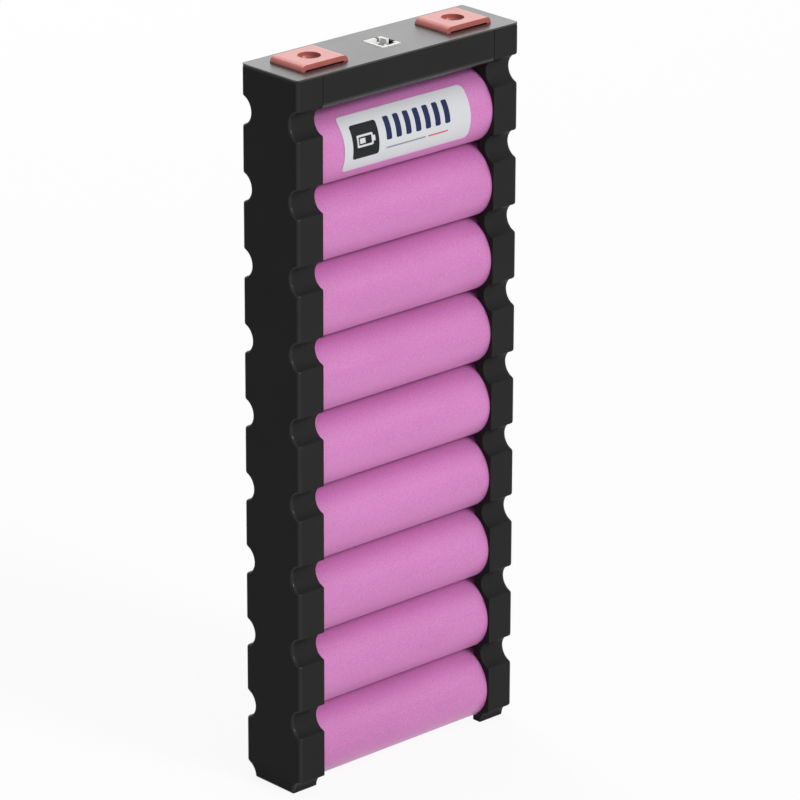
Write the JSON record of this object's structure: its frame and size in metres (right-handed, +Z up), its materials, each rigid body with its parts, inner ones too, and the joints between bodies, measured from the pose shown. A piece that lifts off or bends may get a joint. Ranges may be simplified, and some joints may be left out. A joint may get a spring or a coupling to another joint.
{
  "type": "ev battery module",
  "caption": "Battery module of cylindrical cells held side by side between two end frames, with bolted copper terminals and a sense header on top.",
  "frame": {"origin": "on the floor under the middle of the module", "axes": "+X along the cells, +Y through the depth to the back, +Z up the stack to the terminals"},
  "size_m": [0.07, 0.0194, 0.1811],
  "materials": {
    "steel_can": "nickel plated steel",
    "pink_sleeve": "glossy heat-shrink film",
    "paper_ring": "plain fish paper",
    "black_plastic": "fine-grained moulded plastic",
    "black_plate": "satin film",
    "copper": "bare rolled copper, satin",
    "nut_steel": "zinc plated",
    "nickel": "bright nickel strip",
    "white_nylon": "moulded nylon",
    "tinned_pin": "tin plated",
    "board": "green solder mask",
    "thermistor_body": "glazed chip",
    "label_film": "satin white film"
  },
  "bodies": {
    "root": {"cell_can_1": "steel_can", "cell_sleeve_1": "pink_sleeve", "cell_ring_1": "paper_ring", "cell_can_2": "steel_can", "cell_sleeve_2": "pink_sleeve", "cell_ring_2": "paper_ring", "cell_can_3": "steel_can", "cell_sleeve_3": "pink_sleeve", "cell_ring_3": "paper_ring", "cell_can_4": "steel_can", "cell_sleeve_4": "pink_sleeve", "cell_ring_4": "paper_ring", "cell_can_5": "steel_can", "cell_sleeve_5": "pink_sleeve", "cell_ring_5": "paper_ring", "cell_can_6": "steel_can", "cell_sleeve_6": "pink_sleeve", "cell_ring_6": "paper_ring", "cell_can_7": "steel_can", "cell_sleeve_7": "pink_sleeve", "cell_ring_7": "paper_ring", "cell_can_8": "steel_can", "cell_sleeve_8": "pink_sleeve", "cell_ring_8": "paper_ring", "cell_can_9": "steel_can", "cell_sleeve_9": "pink_sleeve", "cell_ring_9": "paper_ring", "end_frame_left": "black_plastic", "end_frame_right": "black_plastic", "top_bar": "black_plastic", "top_plate": "black_plate", "terminal_left": "copper", "terminal_right": "copper", "terminal_nut_left": "nut_steel", "terminal_nut_right": "nut_steel", "collector_left": "nickel", "collector_right": "nickel", "header_housing": "white_nylon", "header_pin_1": "tinned_pin", "header_pin_2": "tinned_pin", "sense_board": "board", "thermistor": "thermistor_body", "label": "label_film"}
  },
  "joints": []
}
